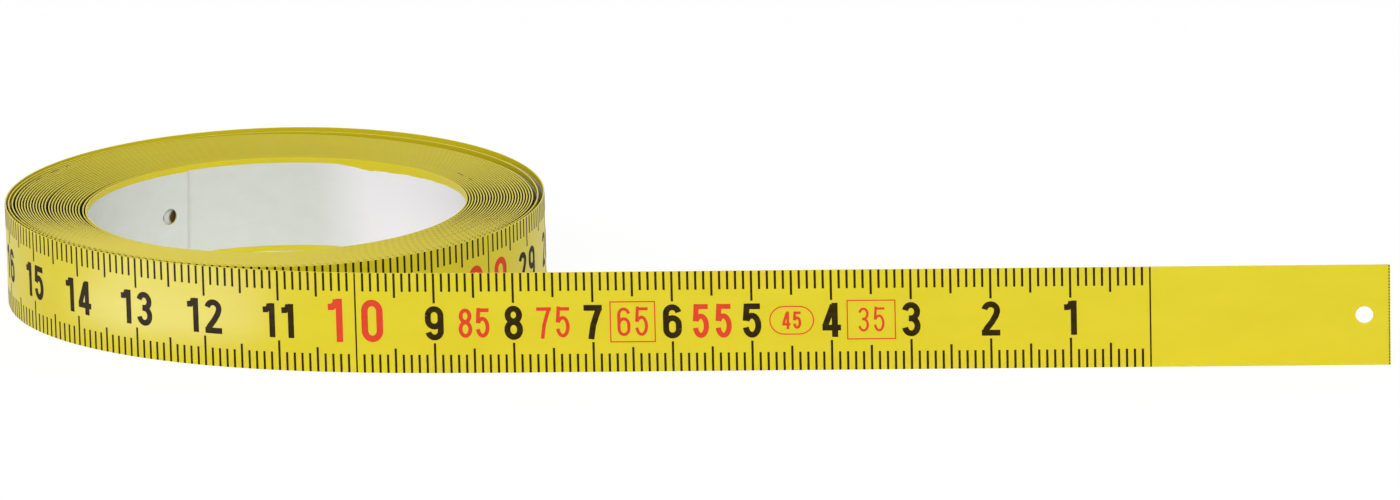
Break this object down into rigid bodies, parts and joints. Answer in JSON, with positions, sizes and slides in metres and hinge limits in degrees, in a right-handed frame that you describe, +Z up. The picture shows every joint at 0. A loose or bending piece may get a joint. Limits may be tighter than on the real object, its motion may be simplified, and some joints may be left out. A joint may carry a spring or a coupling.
{
  "type": "measuring tape",
  "caption": "Self-adhesive steel measuring tape, wound on edge into a coil, its zero end lying out straight; printed face outward, paper liner on the back.",
  "frame": {"origin": "middle of the part's outline in plan, on the surface that the tape's lower edge stands on", "axes": "+X along the free stretch towards the zero end, +Z up along the coil's axis, -Y the way the printed face of the free stretch looks"},
  "size_m": [0.1786, 0.076, 0.013],
  "materials": {
    "lacquered_steel": "semi-gloss yellow lacquer over spring steel, dark and red print",
    "adhesive_film": "tacky, milky film, hidden under the liner",
    "liner_paper": "smooth siliconised release paper, pale grey-white"
  },
  "bodies": {
    "coil": {"coil_blade": "lacquered_steel", "coil_adhesive": "adhesive_film", "coil_liner": "liner_paper"},
    "link_01": {"blade_01": "lacquered_steel", "adhesive_01": "adhesive_film", "liner_01": "liner_paper"},
    "link_02": {"blade_02": "lacquered_steel", "adhesive_02": "adhesive_film", "liner_02": "liner_paper"},
    "link_03": {"blade_03": "lacquered_steel", "adhesive_03": "adhesive_film", "liner_03": "liner_paper"},
    "link_04": {"blade_04": "lacquered_steel", "adhesive_04": "adhesive_film", "liner_04": "liner_paper"},
    "link_05": {"blade_05": "lacquered_steel", "adhesive_05": "adhesive_film", "liner_05": "liner_paper"},
    "link_06": {"blade_06": "lacquered_steel", "adhesive_06": "adhesive_film", "liner_06": "liner_paper"},
    "link_07": {"blade_07": "lacquered_steel", "adhesive_07": "adhesive_film", "liner_07": "liner_paper"},
    "link_08": {"blade_08": "lacquered_steel", "adhesive_08": "adhesive_film", "liner_08": "liner_paper"},
    "link_09": {"blade_09": "lacquered_steel", "adhesive_09": "adhesive_film", "liner_09": "liner_paper"},
    "link_10": {"blade_10": "lacquered_steel", "adhesive_10": "adhesive_film", "liner_10": "liner_paper"},
    "link_11": {"blade_11": "lacquered_steel", "adhesive_11": "adhesive_film", "liner_11": "liner_paper"},
    "link_12": {"blade_12": "lacquered_steel", "adhesive_12": "adhesive_film", "liner_12": "liner_paper"},
    "link_13": {"blade_13": "lacquered_steel", "adhesive_13": "adhesive_film", "liner_13": "liner_paper"},
    "link_14": {"blade_14": "lacquered_steel", "adhesive_14": "adhesive_film", "liner_14": "liner_paper"},
    "link_15": {"blade_15": "lacquered_steel", "adhesive_15": "adhesive_film", "liner_15": "liner_paper"},
    "link_16": {"blade_16": "lacquered_steel", "adhesive_16": "adhesive_film", "liner_16": "liner_paper"}
  },
  "joints": [
    {"name": "bend_01", "type": "hinge", "parent": "coil", "child": "link_01", "pos_m": [-0.0666, -0.03032, 0.0065], "axis": [0, 0, 1], "range_deg": [-14, 2.5], "stiffness_Nm_per_rad": 0.05},
    {"name": "bend_02", "type": "hinge", "parent": "link_01", "child": "link_02", "pos_m": [-0.04875, -0.03608, 0.0065], "axis": [0, 0, 1], "range_deg": [-14, 12], "stiffness_Nm_per_rad": 0.05},
    {"name": "bend_03", "type": "hinge", "parent": "link_02", "child": "link_03", "pos_m": [-0.03588, -0.03757, 0.0065], "axis": [0, 0, 1], "range_deg": [-14, 12], "stiffness_Nm_per_rad": 0.05},
    {"name": "bend_04", "type": "hinge", "parent": "link_03", "child": "link_04", "pos_m": [-0.02534, -0.0379, 0.0065], "axis": [0, 0, 1], "range_deg": [-14, 12], "stiffness_Nm_per_rad": 0.05},
    {"name": "bend_05", "type": "hinge", "parent": "link_04", "child": "link_05", "pos_m": [-0.0162, -0.03793, 0.0065], "axis": [0, 0, 1], "range_deg": [-14, 12], "stiffness_Nm_per_rad": 0.05},
    {"name": "bend_06", "type": "hinge", "parent": "link_05", "child": "link_06", "pos_m": [-0.00742, -0.03793, 0.0065], "axis": [0, 0, 1], "range_deg": [-14, 12], "stiffness_Nm_per_rad": 0.05},
    {"name": "bend_07", "type": "hinge", "parent": "link_06", "child": "link_07", "pos_m": [0.00137, -0.03793, 0.0065], "axis": [0, 0, 1], "range_deg": [-14, 12], "stiffness_Nm_per_rad": 0.05},
    {"name": "bend_08", "type": "hinge", "parent": "link_07", "child": "link_08", "pos_m": [0.01016, -0.03793, 0.0065], "axis": [0, 0, 1], "range_deg": [-14, 12], "stiffness_Nm_per_rad": 0.05},
    {"name": "bend_09", "type": "hinge", "parent": "link_08", "child": "link_09", "pos_m": [0.01895, -0.03793, 0.0065], "axis": [0, 0, 1], "range_deg": [-14, 12], "stiffness_Nm_per_rad": 0.05},
    {"name": "bend_10", "type": "hinge", "parent": "link_09", "child": "link_10", "pos_m": [0.02774, -0.03793, 0.0065], "axis": [0, 0, 1], "range_deg": [-14, 12], "stiffness_Nm_per_rad": 0.05},
    {"name": "bend_11", "type": "hinge", "parent": "link_10", "child": "link_11", "pos_m": [0.03652, -0.03793, 0.0065], "axis": [0, 0, 1], "range_deg": [-14, 12], "stiffness_Nm_per_rad": 0.05},
    {"name": "bend_12", "type": "hinge", "parent": "link_11", "child": "link_12", "pos_m": [0.04531, -0.03793, 0.0065], "axis": [0, 0, 1], "range_deg": [-14, 12], "stiffness_Nm_per_rad": 0.05},
    {"name": "bend_13", "type": "hinge", "parent": "link_12", "child": "link_13", "pos_m": [0.0541, -0.03793, 0.0065], "axis": [0, 0, 1], "range_deg": [-14, 12], "stiffness_Nm_per_rad": 0.05},
    {"name": "bend_14", "type": "hinge", "parent": "link_13", "child": "link_14", "pos_m": [0.06289, -0.03793, 0.0065], "axis": [0, 0, 1], "range_deg": [-14, 12], "stiffness_Nm_per_rad": 0.05},
    {"name": "bend_15", "type": "hinge", "parent": "link_14", "child": "link_15", "pos_m": [0.07167, -0.03793, 0.0065], "axis": [0, 0, 1], "range_deg": [-14, 12], "stiffness_Nm_per_rad": 0.05},
    {"name": "bend_16", "type": "hinge", "parent": "link_15", "child": "link_16", "pos_m": [0.08046, -0.03793, 0.0065], "axis": [0, 0, 1], "range_deg": [-14, 12], "stiffness_Nm_per_rad": 0.05}
  ]
}
